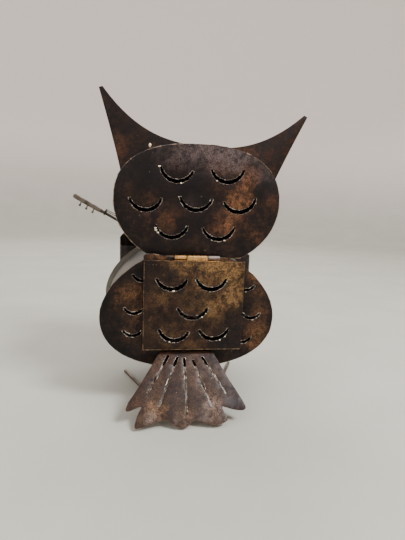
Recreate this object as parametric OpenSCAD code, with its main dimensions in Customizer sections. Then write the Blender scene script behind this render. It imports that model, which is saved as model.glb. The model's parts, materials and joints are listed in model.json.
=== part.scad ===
// Owl playing a guitar: a tealight lantern cut, bent and welded from thin sheet steel.
// The owl faces -Y. Its back, with the candle door and the propping tail, faces +Y.
// The origin is on the table, under the middle of the body drum.

/* [Metal] */
// Thickness of the sheet steel
sheet = 0.8; // [0.6:0.1:1.2]
// Diameter of the foot rods
rod_d = 2.2; // [1.8:0.1:3]
// How far a back plate stands out past its rim
lip = 1; // [0.5:0.1:2]
// How much larger the front sheets are than the back plates, all round
front_margin = 2.5; // [1:0.5:5]

/* [Body drum] */
// Width of the body's back plate
body_w = 103.4; // [92:0.2:120]
// How far the body bulges to the owl's right
body_shift = 0.7; // [0:0.1:3]
// Height of the body's widest level above the table
body_z = 55.5; // [52:0.5:64]
// From the widest level down to the bottom of the body
body_low = 31.5; // [28:0.5:36]
// From the widest level up to the body's apex, above the neck cut
body_up = 41; // [39:0.5:48]
// Distance between the inner faces of the back plate and the front plate
depth = 66; // [58:1:80]

/* [Head drum] */
// Width of the head's back plate
head_w = 95; // [85:1:115]
// From the neck up to the head's widest level
head_rise = 31.5; // [29:0.5:36]
// From the head's widest level to its top
head_up = 32.2; // [28:0.2:40]
// From the head's widest level down to the apex that the neck cut takes off
head_low = 37.8; // [36:0.2:44]
// Height of the neck, where the two drums meet
neck_z = 91; // [88:0.5:96]
// How far the head is turned about the vertical
head_turn = 6; // [0:0.5:12]
// How far the turned head sits off the body's middle, across
head_shift = 6.9; // [0:0.1:9]
// Width of the light hole between the two drums
neck_hole_w = 34; // [24:1:38]
// Depth of the light hole between the two drums
neck_hole_l = 44; // [30:1:54]

/* [Ears] */
// How far each horn's tip is from the head's middle, across
ear_reach = 73.4; // [60:0.2:85]
// How far each horn's tip is above the head's widest level
ear_rise = 70; // [55:0.5:85]
// Width of the blunt tip
ear_tip_w = 2.5; // [2:0.5:5]
// How much larger the left horn is than the right one
ear_left = 1.03; // [1:0.01:1.05]
// Height of the front sheet's top edge between the horns
brow_rise = 40; // [36:0.5:46]
// How far the front sheet leans over on the drum
face_roll = 4.4; // [0:0.2:7]

/* [Door] */
// Width of the door
door_w = 58.8; // [50:0.2:66]
// Height of the door
door_h = 53.4; // [46:0.2:56]
// How far the door sits off the body's middle, across
door_shift = 3.2; // [0:0.2:5]
// Width of the opening behind the door
opening_w = 42; // [40:1:44]
// Height of the opening behind the door
opening_h = 40; // [34:1:42]

/* [Hinge] */
// Length of the hinge
hinge_w = 26.3; // [20:0.1:40]
// Length of the middle knuckle
knuckle_mid = 11.8; // [7:0.1:16]
// Outer radius of the knuckles
knuckle_r = 1.4; // [1.3:0.05:1.8]
// Radius of the hinge pin
pin_r = 0.8; // [0.6:0.05:0.9]
// Height of each leaf below the axis
leaf_h = 9; // [7:0.5:10]

/* [Candle] */
// Inner radius of the candle pan
pan_r = 20.5; // [19.5:0.1:21.5]
// Height of the candle pan's wall above its floor
pan_h = 7.2; // [5:0.2:10]
// Height of the shelf's underside above the table
shelf_z = 36.5; // [34:0.5:42]

/* [Slots] */
// Width of the chiselled crescent slots
slot_w = 1.7; // [1.2:0.1:2.4]
// Chord of a crescent
crescent_w = 18.4; // [14:0.2:20]
// Depth of a crescent
crescent_d = 7; // [5:0.2:8]

/* [Tail] */
// Width of the tail's top edge
tail_top_w = 31.4; // [26:0.2:40]
// Height of the tail's top edge
tail_z = 33.6; // [31:0.2:35]
// How far behind the body the tail reaches
tail_reach = 31; // [24:0.5:38]

/* [Feet] */
// Distance of each heel from the middle, across
heel_x = 19.5; // [14:0.5:22]
// How far each heel is behind the middle
heel_y = 27; // [20:0.5:30]
// Length of the left foot's outer toe
toe_left = 46; // [38:1:58]
// Length of the right foot's outer toe
toe_right = 57; // [38:1:60]

/* [Guitar] */
// Length of the guitar's body
guitar_l = 54; // [46:1:60]
// Width of the guitar's lower bout
guitar_w = 36; // [30:1:40]
// Thickness of the guitar's body
guitar_t = 7; // [5:0.5:9]
// From the middle of the guitar's body to the tip of its headstock
guitar_reach = 100; // [85:1:115]
// Angle of the neck above the horizontal
guitar_lean = 28.5; // [15:0.5:40]
// How far the soundboard faces upwards
guitar_tilt = 30; // [10:1:45]
// Diameter of the neck rod
neck_d = 2; // [1.6:0.1:3]

/* [Hidden] */

gap = 0.3;                  // between pieces that pass each other
pin_gap = 0.05;             // around the hinge pin
seam = 0.1;                 // between the plates' edges at the neck
steps = 96;                 // points round a drum's outline
$fn = 48;

paint = "#4b3628";
paint_dark = "#352a26";
paint_gold = "#6b4a2a";
rod_steel = "#4f4a45";
brass = "#9c7a45";

plate_in = depth / 2;
plate_out = plate_in + sheet;
head_z = neck_z + head_rise;
hinge_x = -door_shift - 1.3;
hinge_z = neck_z;
door_z = hinge_z - knuckle_r - gap - door_h;

// Exponents of the rounded outlines: 2 is an ellipse, more is squarer
body_up_n = 1.8;
body_low_n = 2.3;
head_up_n = 2.4;
head_low_n = 2;

// An egg outline: one exponent above its widest level and one below, cut flat at floor and ceiling
function curve(v, n) = sign(v) * pow(abs(v), 2 / n);
function egg(r, up, low, up_n, low_n, floor = -1000, ceiling = 1000) =
    [for (i = [0:steps - 1]) let (a = 360 * (i + 0.5) / steps, s = sin(a), n = s > 0 ? up_n : low_n)
        [r * curve(cos(a), n), min(ceiling, max(floor, (s > 0 ? up : low) * curve(s, n)))]];

// The outlines are in X and Z about the drum's widest level; inset draws a smaller one
module body_shape(inset = 0, cut = 0) translate([-body_shift, 0])
    polygon(egg(body_w / 2 - inset, body_up - inset, body_low - inset,
        body_up_n, body_low_n, ceiling = neck_z - body_z - cut));

module head_shape(inset = 0, cut = 0)
    polygon(egg(head_w / 2 - inset, head_up - inset, head_low - inset,
        head_up_n, head_low_n, floor = -head_rise + cut));

// Stands an X-Z outline up and gives it a thickness from y0 to y1
module slab(y0, y1) translate([0, y1, 0]) rotate([90, 0, 0]) linear_extrude(y1 - y0) children();

module on_body() translate([0, 0, body_z]) children();

// The head sits forward far enough for its turned back plate to clear the hinge's far end
hinge_reach = hinge_w / 2 - hinge_x - head_shift + plate_out * sin(head_turn);
head_setback = gap + plate_out * (cos(head_turn) - 1) + hinge_reach * sin(head_turn);
module on_head()
    translate([-head_shift, -head_setback, head_z]) rotate([0, 0, -head_turn]) children();

module on_face() on_head() rotate([0, -face_roll, 0]) children();

// A U-shaped slot whose ends are level with the origin and whose middle hangs below it
module crescent(w = crescent_w, d = crescent_d) {
    r = (w * w / 4 + d * d) / (2 * d);
    intersection() {
        translate([0, r - d]) difference() {
            circle(r + slot_w / 2);
            circle(r - slot_w / 2);
        }
        translate([-w, -2 * d]) square([2 * w, 2 * d]);
    }
}

// Hand-cut crescents: each is [across, up, turn]
module crescents(cuts, w = crescent_w, d = crescent_d)
    for (c = cuts) translate([c[0], c[1]]) rotate(c[2]) crescent(w, d);

// ---- Body drum ----

opening_drop = 2;           // the opening sits this much lower than the door
opening_z = door_z + (door_h - opening_h) / 2 - opening_drop;

// Smaller crescents in a column at each side of the door
side_x = door_w / 2;
side_cuts = [[side_x - 2.5, 24.5, 5], [side_x + 2.2, 5, 3], [side_x + 2.8, -8.5, 3],
    [-side_x - door_shift - 2, 19.5, 0], [-side_x - door_shift - 6.2, 2.2, 0],
    [-side_x - door_shift - 1.5, -13, -2]];

// A low tab of the back plate stands up beside the neck, over the door's left corner
tab_w = 13;
tab_h = 1.6;
tab_edge = [[0, 0.2], [0.09, 0.7], [0.22, 1], [0.45, 0.95], [0.75, 0.55], [1, 0]];
module tab() translate([side_x - door_shift, neck_z - body_z])
    polygon(concat([[-tab_w, -2 * tab_h], [0, -2 * tab_h]], [for (p = tab_edge) [-p[0] * tab_w, p[1] * tab_h]]));

module body_back_plate() color(paint) on_body() slab(plate_in, plate_out) difference() {
    union() {
        body_shape(cut = seam);
        tab();
    }
    translate([-door_shift - opening_w / 2, opening_z - body_z]) square([opening_w, opening_h]);
    crescents(side_cuts, w = 11, d = 3.3);
}

module body_front_plate() color(paint_dark) on_body() slab(-plate_out, -plate_in)
    body_shape(inset = -front_margin, cut = seam);

module body_rim() color(paint) difference() {
    on_body() slab(-plate_in, plate_in) difference() {
        body_shape(inset = lip);
        body_shape(inset = lip + sheet, cut = sheet);
    }
    neck_hole();
}

// The light hole through both drums at the neck
module neck_hole() translate([-neck_hole_w / 2, -neck_hole_l / 2, neck_z - 5])
    cube([neck_hole_w, neck_hole_l, 10]);

// ---- Candle ----

module candle_shelf() color(paint_dark) intersection() {
    on_body() slab(-plate_in, plate_in) body_shape(inset = lip + sheet, cut = sheet);
    translate([-body_w / 2, -plate_in, shelf_z]) cube([body_w, depth, sheet]);
}

module candle_pan() color(brass) translate([-door_shift, 0, shelf_z + sheet]) difference() {
    cylinder(h = sheet + pan_h, r = pan_r + sheet);
    translate([0, 0, sheet]) cylinder(h = pan_h + 1, r = pan_r);
}

// ---- Head drum ----

head_cuts = [[11.8, 18.4, 6], [-17, 19, -1], [29.3, 1.6, -1], [0.4, 2.6, 2], [-24.6, 2.4, -9],
    [14, -13.6, 0], [-13.2, -13.8, -3]];

module head_back_plate() color(paint) on_head() slab(plate_in, plate_out) difference() {
    head_shape(cut = seam);
    crescents(head_cuts);
}

module head_rim() color(paint) difference() {
    on_head() slab(-plate_in, plate_in) difference() {
        head_shape(inset = lip);
        head_shape(inset = lip + sheet, cut = sheet);
    }
    neck_hole();
}

// The front sheet of the head, with both horns in one piece
ear_steps = 10;
brow_power = 2.5;
cheek_power = 1.15;
cheek_half = head_w / 2 + front_margin;
// One horn, along the brow out to the tip, then down its outer edge
function horn(k) = concat(
    [for (i = [1:ear_steps]) let (t = i / ear_steps)
        [k * (ear_reach - ear_tip_w) * t, brow_rise + (k * ear_rise - brow_rise) * pow(t, brow_power)]],
    [for (i = [ear_steps:-1:0]) let (t = i / ear_steps)
        [k * (cheek_half + (ear_reach - cheek_half) * pow(t, cheek_power)), (k * ear_rise - 1) * t]],
    [[cheek_half - 3, -3]]);
module horns_shape() {
    right = horn(1);
    polygon(concat(horn(ear_left), [for (i = [len(right) - 1:-1:0]) [-right[i][0], right[i][1]]],
        [[0, brow_rise]]));
}

module face_plate() color(paint_dark) on_head() slab(-plate_out, -plate_in) difference() {
    rotate(face_roll) difference() {
        union() {
            head_shape(inset = -front_margin);
            horns_shape();
        }
        crescents([[0, 30, 0], [22, -13, 0], [-22, -13, 0]], w = 15, d = 5);
    }
    translate([-head_w, seam - head_rise - head_w]) square([2 * head_w, head_w]);
}

// ---- Face ----

eye_x = 20;
eye_z = 4;
eye_r = 15;
eye_hole_r = 10.5;
dome_r = 7.5;
dome_h = 4;

module eyes() for (side = [-1, 1]) on_face() translate([side * eye_x, -plate_out, eye_z]) rotate([90, 0, 0])
    children();

module eye_rings() color(paint_gold) eyes() difference() {
    cylinder(h = sheet, r = eye_r);
    translate([0, 0, -1]) cylinder(h = sheet + 2, r = eye_hole_r);
}

// Pressed domes, hollow behind
module eye_domes() color(paint_gold) eyes() rotate_extrude() difference() {
    scale([1, dome_h / dome_r]) intersection() {
        circle(dome_r);
        square(dome_r);
    }
    scale([1, (dome_h - sheet) / (dome_r - sheet)]) circle(dome_r - sheet);
}

beak_w = 12;
beak_h = 17;
beak_z = -2;
beak_out = 7;

// A folded beak: a chevron of sheet, cut to a point below
module beak() color(paint_gold) on_face() translate([0, -plate_out, beak_z]) intersection() {
    translate([0, 0, -beak_h]) linear_extrude(beak_h) difference() {
        polygon([[-beak_w / 2, 0], [0, -beak_out], [beak_w / 2, 0]]);
        polygon([[-beak_w / 2 + 1.6 * sheet, 0], [0, -beak_out + 1.6 * sheet], [beak_w / 2 - 1.6 * sheet, 0]]);
    }
    slab(-beak_out - 1, 1) polygon([[-beak_w / 2, 0], [beak_w / 2, 0], [0, -beak_h]]);
}

// ---- Wings ----

// A flat strip bent along a path in X and Y, as tall as h
function unit(v) = v / norm(v);
function side_of(path, i) = let (
    a = path[max(i - 1, 0)], b = path[min(i + 1, len(path) - 1)], d = unit(b - a)) [-d[1], d[0]];
module strip(path, t) polygon(concat(
    [for (i = [0:len(path) - 1]) path[i] + side_of(path, i) * t / 2],
    [for (i = [len(path) - 1:-1:0]) path[i] - side_of(path, i) * t / 2]));

wing_out = 23.3 + head_setback;  // how far the wings stand in front of the body and the guitar
wing_bend_r = 13;
wing_root_r = 6;            // the bend where a wing leaves the front plate
wing_flange = 10;           // the flat part that is welded to the plate
wing_low = 40;              // a wing is cut from a strip that spans these heights
wing_high = 120;

// A wing leaves the front plate at its shoulder, turns forwards and then inwards over the guitar
module wing(shoulder, tip) {
    y0 = -plate_out - sheet / 2;
    front = y0 - wing_out;
    path = concat([[shoulder - wing_root_r - wing_flange, y0]],
        [for (a = [0:15:90]) [shoulder - wing_root_r * (1 - sin(a)), y0 - wing_root_r * (1 - cos(a))]],
        [for (a = [0:10:90]) [shoulder - wing_bend_r * (1 - cos(a)), front + wing_bend_r * (1 - sin(a))]],
        [[tip, front]]);
    difference() {
        intersection() {
            translate([0, 0, wing_low]) linear_extrude(wing_high - wing_low) strip(path, sheet);
            slab(front - sheet, -plate_out) children();
        }
        // above the neck a wing keeps clear of the turned head
        translate([0, y0 - wing_root_r - gap, neck_z - 2]) cube([head_w, 3 * wing_root_r, head_w]);
    }
}

// The left wing is raised to the neck of the guitar
module left_wing() color(paint) wing(43.5, 22) hull() {
    translate([36, 68]) circle(8.5, $fn = 32);
    translate([37, 90]) circle(8.5, $fn = 32);
    translate([27, 99]) circle(5, $fn = 32);
}

// The right wing reaches down over the strings
module right_wing() color(paint) mirror([1, 0, 0]) wing(55, 12) hull() {
    translate([52.5, 82.3]) circle(2.5, $fn = 32);
    translate([44, 74]) circle(11.5, $fn = 32);
    translate([36, 62]) circle(11, $fn = 32);
    translate([16, 66]) circle(4.5, $fn = 32);
}

// ---- Tail ----

tail_slope = atan(tail_z / tail_reach);
tail_l = norm([tail_reach, tail_z]);
tail_bend = 8;
tail_slot_w = 1.4;

// The fan's edge from its top corner at the owl's left, round the five lobes: [across, down],
// as shares of the tail's length. The lobes were snipped by hand and differ a little.
tail_edge = [[0.515, 0.305], [0.645, 0.52], [0.735, 0.65], [0.765, 0.74], [0.725, 0.755], [0.555, 0.685],
    [0.62, 0.8], [0.655, 0.93], [0.635, 0.96], [0.495, 0.925], [0.28, 0.855], [0.225, 0.905],
    [0.165, 0.945], [0.075, 0.975], [0.01, 0.94], [-0.07, 0.865], [-0.15, 0.91], [-0.24, 0.935],
    [-0.34, 0.95], [-0.44, 0.915], [-0.475, 0.885], [-0.395, 0.715], [-0.54, 0.765], [-0.675, 0.785],
    [-0.72, 0.755], [-0.665, 0.63], [-0.545, 0.41], [-0.42, 0.2]];
// The slots run from [across, down] to [across, down], as shares of the length
tail_slots = [[[0.23, 0.05], [0.5, 0.54]], [[0.115, 0.075], [0.365, 0.71]], [[0.03, 0.09], [0.025, 0.82]],
    [[-0.08, 0.12], [-0.285, 0.73]], [[-0.2, 0.08], [-0.48, 0.57]]];

module tail_shape() difference() {
    polygon(concat([[-tail_top_w / 2, 0], [tail_top_w / 2, 0]],
        [for (p = tail_edge) [p[0] * tail_l, -p[1] * tail_l]]));
    for (s = tail_slots) {
        run = (s[1] - s[0]) * tail_l;
        translate([s[0][0], -s[0][1]] * tail_l) rotate(atan(run[0] / run[1]))
            translate([-tail_slot_w / 2, -norm(run)]) square([tail_slot_w, norm(run)]);
    }
}

// The fan lies flat on the back plate at its top, then bends out and down to the table
module tail() color(paint) intersection() {
    translate([body_w / 2, 0, 0]) rotate([0, -90, 0]) linear_extrude(body_w) strip(concat(
        [[tail_z + 5, plate_out + sheet / 2]],
        [for (a = [0:6:90 - tail_slope]) [tail_z - tail_bend * sin(a) * 0.5,
            plate_out + sheet / 2 + tail_bend * (1 - cos(a))]],
        [[sheet / 2, plate_out + tail_reach]]), sheet);
    translate([0, plate_out, tail_z]) rotate([180 - tail_slope, 0, 0])
        linear_extrude(40, center = true) tail_shape();
}

// ---- Feet ----

foot_sides = 12;            // hammered rods, drawn with flats where they are welded
leg_lean = [0.8, 0.45];     // where the leg meets the body, as a share of the heel's place

module along(a, b) {
    v = b - a;
    translate(a) rotate([0, acos(v[2] / norm(v)), atan2(v[1], v[0])]) children();
}

module rod(a, b, d = rod_d, sides = 48) along(a, b) cylinder(h = norm(b - a), d = d, $fn = sides);

// Three toes fanned forward from one heel, and a leg up to the body's underside; side is 1 or -1
module foot(side, outer, spread) {
    heel = [side * heel_x, heel_y, rod_d / 2];
    hip = [heel[0] * leg_lean[0], heel_y * leg_lean[1], body_z - body_low + 8];
    toes = [[spread, outer], [-3, 54], [-22, 46]];
    for (t = toes) rod(heel, heel + t[1] * [side * sin(t[0]), -cos(t[0]), 0], sides = foot_sides);
    difference() {
        rod(heel, hip, sides = foot_sides);
        on_body() slab(-depth, depth) body_shape(inset = lip);
    }
}

module left_foot() color(rod_steel) foot(1, toe_left, 24);
module right_foot() color(rod_steel) foot(-1, toe_right, 21);

// ---- Door and hinge ----

axis_y = plate_out + knuckle_r;
door_in = axis_y + knuckle_r;
leaf_t = knuckle_r - pin_r - pin_gap;
// Ends of the middle knuckle, which the door's leaf wraps
mid_x0 = hinge_x - knuckle_mid / 2;
mid_x1 = hinge_x + knuckle_mid / 2;

door_cuts = [[13.2, 16.2, 1], [-9.8, 16.4, -1], [0.6, -0.9, 0], [11.2, -14.6, 6], [-12.4, -13.8, -2]];

module door_panel() color(paint_gold) translate([-door_shift, 0, door_z]) {
    slab(door_in, door_in + sheet) difference() {
        translate([-door_w / 2, 0]) square([door_w, door_h]);
        translate([0, door_h / 2]) crescents(door_cuts, w = 17.6, d = 6.2);
    }
    // folded edges at both sides and along the bottom
    fold = door_in - plate_out - gap;
    for (x = [-door_w / 2, door_w / 2 - sheet])
        translate([x, door_in - fold, 0]) cube([sheet, fold, door_h]);
    translate([-door_w / 2, door_in - fold, 0]) cube([door_w, fold, sheet]);
}

module knuckle(x0, x1) translate([x0, axis_y, hinge_z]) rotate([0, 90, 0]) difference() {
    cylinder(h = x1 - x0, r = knuckle_r);
    translate([0, 0, -1]) cylinder(h = x1 - x0 + 2, r = pin_r + pin_gap);
}

// A leaf is a full-width plate below the knuckles, with a neck up to each of its own
module leaf(y, knuckles) {
    hinge_x0 = hinge_x - hinge_w / 2;
    body_top = hinge_z - knuckle_r - gap;
    translate([hinge_x0, y, hinge_z - leaf_h]) cube([hinge_w, leaf_t, body_top - hinge_z + leaf_h]);
    for (k = knuckles) {
        translate([k[0], y, body_top]) cube([k[1] - k[0], leaf_t, hinge_z - body_top]);
        knuckle(k[0], k[1]);
    }
}

module door_leaf() color(brass) leaf(door_in - leaf_t, [[mid_x0, mid_x1]]);
module plate_leaf() color(brass) leaf(plate_out,
    [[hinge_x - hinge_w / 2, mid_x0 - gap], [mid_x1 + gap, hinge_x + hinge_w / 2]]);
module hinge_pin() color(rod_steel)
    rod([hinge_x - hinge_w / 2, axis_y, hinge_z], [hinge_x + hinge_w / 2, axis_y, hinge_z], 2 * pin_r);

// ---- Guitar ----

// In the guitar's own frame X runs to the headstock, Z out of the soundboard, and Y across
bout_r = guitar_w / 2;
small_r = bout_r * 0.76;
bout_x = -guitar_l / 2 + bout_r;
small_x = guitar_l / 2 - small_r;
guitar_in = guitar_t - 2 * sheet;
// It clears the front plate by as much as the head stands forward
guitar_y = -plate_out - head_setback - gap - bout_r * sin(guitar_tilt) - guitar_t / 2 * cos(guitar_tilt);
tip_at = [78.7, 0, 123.5];  // the headstock's tip, beyond the owl's left side
nut_x = guitar_reach - 25;
bridge_x = bout_x - 4;
neck_up = 1.6;              // the neck's axis above the middle of the guitar's thickness
nut_h = 3.4;
nut_t = 1.4;
nut_w = 4;
bridge_h = 3;
string_d = 0.6;
string_count = 3;

module on_guitar() translate([tip_at[0] - guitar_reach * cos(guitar_lean), guitar_y,
        tip_at[2] - guitar_reach * sin(guitar_lean)])
    rotate([0, -guitar_lean, 0]) rotate([90 - guitar_tilt, 0, 0]) children();

module guitar_shape(inset = 0) {
    translate([bout_x, 0]) circle(bout_r - inset);
    translate([small_x, 0]) circle(small_r - inset);
    translate([bout_x, -small_r * 0.8 + inset]) square([small_x - bout_x, 2 * (small_r * 0.8 - inset)]);
}

module guitar_top() color(paint_gold) on_guitar() translate([0, 0, guitar_in / 2]) linear_extrude(sheet)
    difference() {
        guitar_shape();
        translate([small_x - 8, 0]) circle(5.5);
    }

module guitar_back() color(paint) on_guitar() translate([0, 0, -guitar_t / 2]) linear_extrude(sheet)
    guitar_shape();

module guitar_rib() color(paint) on_guitar() linear_extrude(guitar_in, center = true) difference() {
    guitar_shape(inset = sheet / 2);
    guitar_shape(inset = sheet * 1.5);
}

module guitar_neck() color(rod_steel) on_guitar() difference() {
    rod([guitar_l / 2 - 4, 0, neck_up], [nut_x, 0, neck_up], neck_d);
    linear_extrude(guitar_t + 2, center = true) guitar_shape(inset = sheet / 2);
}

// A flat blade that narrows to the nut
head_blade_w = 3.6;
head_blade_t = 1.2;
module guitar_headstock() color(rod_steel) on_guitar() translate([0, 0, neck_up - head_blade_t / 2])
    linear_extrude(head_blade_t) polygon([[nut_x, -neck_d / 2], [nut_x + 5, -head_blade_w / 2],
        [guitar_reach - 1, -head_blade_w / 2], [guitar_reach, -head_blade_w / 4],
        [guitar_reach, head_blade_w / 4], [guitar_reach - 1, head_blade_w / 2],
        [nut_x + 5, head_blade_w / 2], [nut_x, neck_d / 2]]);

peg_pitch = 5.2;
peg_l = 3;
module tuning_pegs() color(rod_steel) on_guitar() for (i = [0:string_count - 1])
    translate([guitar_reach - 7 - i * peg_pitch, -head_blade_w / 2, neck_up]) rotate([90, 0, 0]) {
        cylinder(h = peg_l, d = 0.9);
        translate([0, 0, peg_l - 0.6]) cylinder(h = 1.2, d = 1.7);
    }

module guitar_nut() color(rod_steel) on_guitar() translate([nut_x - nut_t, 0, neck_up]) difference() {
    translate([0, -nut_w / 2, 0]) cube([nut_t, nut_w, nut_h - string_d / 2]);
    translate([-1, 0, 0]) rotate([0, 90, 0]) cylinder(h = nut_t + 2, d = neck_d);
}

module guitar_bridge() color(rod_steel) on_guitar() translate([bridge_x - 1, -7, guitar_t / 2])
    cube([2, 14, bridge_h - string_d / 2 - seam]);

module guitar_strings() color(brass) on_guitar() for (i = [0:string_count - 1])
    let (s = i - (string_count - 1) / 2)
        rod([nut_x - 1, s * 1.2, neck_up + nut_h], [bridge_x, s * 4, guitar_t / 2 + bridge_h], string_d);

body_back_plate();
body_rim();
body_front_plate();
candle_shelf();
candle_pan();
head_back_plate();
head_rim();
face_plate();
eye_rings();
eye_domes();
beak();
left_wing();
right_wing();
tail();
left_foot();
right_foot();
door_panel();
door_leaf();
plate_leaf();
hinge_pin();
guitar_top();
guitar_rib();
guitar_back();
guitar_neck();
guitar_headstock();
tuning_pegs();
guitar_nut();
guitar_bridge();
guitar_strings();
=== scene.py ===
import json
import math
import random
import bmesh
import bpy
from mathutils import Matrix, Vector, noise


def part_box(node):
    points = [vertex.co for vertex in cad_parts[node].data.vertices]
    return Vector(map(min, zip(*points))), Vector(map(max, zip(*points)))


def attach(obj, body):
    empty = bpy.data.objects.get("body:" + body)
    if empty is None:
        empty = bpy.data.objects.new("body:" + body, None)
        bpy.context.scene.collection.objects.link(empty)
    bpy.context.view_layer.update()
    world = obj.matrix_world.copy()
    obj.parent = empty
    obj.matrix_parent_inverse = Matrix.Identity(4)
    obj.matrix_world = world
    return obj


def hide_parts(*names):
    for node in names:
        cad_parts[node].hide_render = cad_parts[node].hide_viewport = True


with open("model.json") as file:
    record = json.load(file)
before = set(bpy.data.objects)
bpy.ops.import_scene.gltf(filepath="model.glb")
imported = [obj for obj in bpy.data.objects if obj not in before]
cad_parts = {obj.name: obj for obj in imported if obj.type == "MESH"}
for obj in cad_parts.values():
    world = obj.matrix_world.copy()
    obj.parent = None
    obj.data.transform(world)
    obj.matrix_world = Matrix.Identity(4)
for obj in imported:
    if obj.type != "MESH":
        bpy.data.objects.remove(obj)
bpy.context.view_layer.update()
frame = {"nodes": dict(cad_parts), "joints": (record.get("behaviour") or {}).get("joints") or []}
print("frame loaded:", len(frame["nodes"]), "nodes")

mm = 0.001
sheet = 0.8                 # the steel is this thick throughout
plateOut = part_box("body_back_plate")[1].y / mm
plateIn = plateOut - sheet
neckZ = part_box("body_rim")[1].z / mm


# Small tools for materials

def linear(hexColour):
    channels = [int(hexColour[i:i + 2], 16) / 255 for i in (1, 3, 5)]
    return [c / 12.92 if c <= 0.04045 else ((c + 0.055) / 1.055) ** 2.4 for c in channels] + [1.0]


def addNode(tree, kind, inputs, settings=None, output=0):
    # an input is a number, a #colour or another node's output
    node = tree.nodes.new("ShaderNode" + kind)
    for key, value in (settings or {}).items():
        setattr(node, key, value)
    for key, value in inputs.items():
        if isinstance(value, bpy.types.NodeSocket):
            tree.links.new(value, node.inputs[key])
        else:
            node.inputs[key].default_value = linear(value) if isinstance(value, str) else value
    return node.outputs[output] if node.outputs else None


# settings that several nodes share
add = {"operation": "ADD"}
addClamped = {"operation": "ADD", "use_clamp": True}
subtractClamped = {"operation": "SUBTRACT", "use_clamp": True}
multiply = {"operation": "MULTIPLY"}
multiplyClamped = {"operation": "MULTIPLY", "use_clamp": True}
multiplyAdd = {"operation": "MULTIPLY_ADD"}
distance = {"operation": "DISTANCE"}
smooth = {"interpolation_type": "SMOOTHSTEP"}
blend = {"data_type": "RGBA"}
tint = {"data_type": "RGBA", "blend_type": "MULTIPLY"}
# MapRange reads 1 to 2 and gives 3 to 4. A colour Mix has its share on 0, its colours on 6 and 7
mixed = 2                   # the number of a colour Mix's output


def startMaterial(name):
    # a pattern's place is the object's own, in millimetres
    material = bpy.data.materials.new(name)
    material.use_nodes = True
    tree = material.node_tree
    tree.nodes.clear()
    place = addNode(tree, "TexCoord", {}, output="Object")
    return material, tree, addNode(tree, "Mapping", {"Vector": place, "Scale": (1 / mm, 1 / mm, 1 / mm)})


def patches(tree, place, spots):
    # soft round patches at (x, y, z), each with its radius and strength, all in millimetres
    total = 0.0
    for x, y, z, radius, strength in spots:
        away = addNode(tree, "VectorMath", {0: place, 1: (x, y, z)}, distance, "Value")
        patch = addNode(tree, "MapRange", {0: away, 1: 0.1 * radius, 2: radius, 3: strength, 4: 0.0},
                        smooth)
        total = addNode(tree, "Math", {0: patch, 1: total}, add)
    return total


# Finishes. The steel was painted nearly black, rubbed back to gold and brown, then lacquered
paintSizes = {"broad": 26, "cloud": 9, "mottle": 2.6, "grain": 0.6, "speck": 1.1, "wave": 16,
              "waveHeight": 0.5, "pebbleHeight": 0.08}


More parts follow.
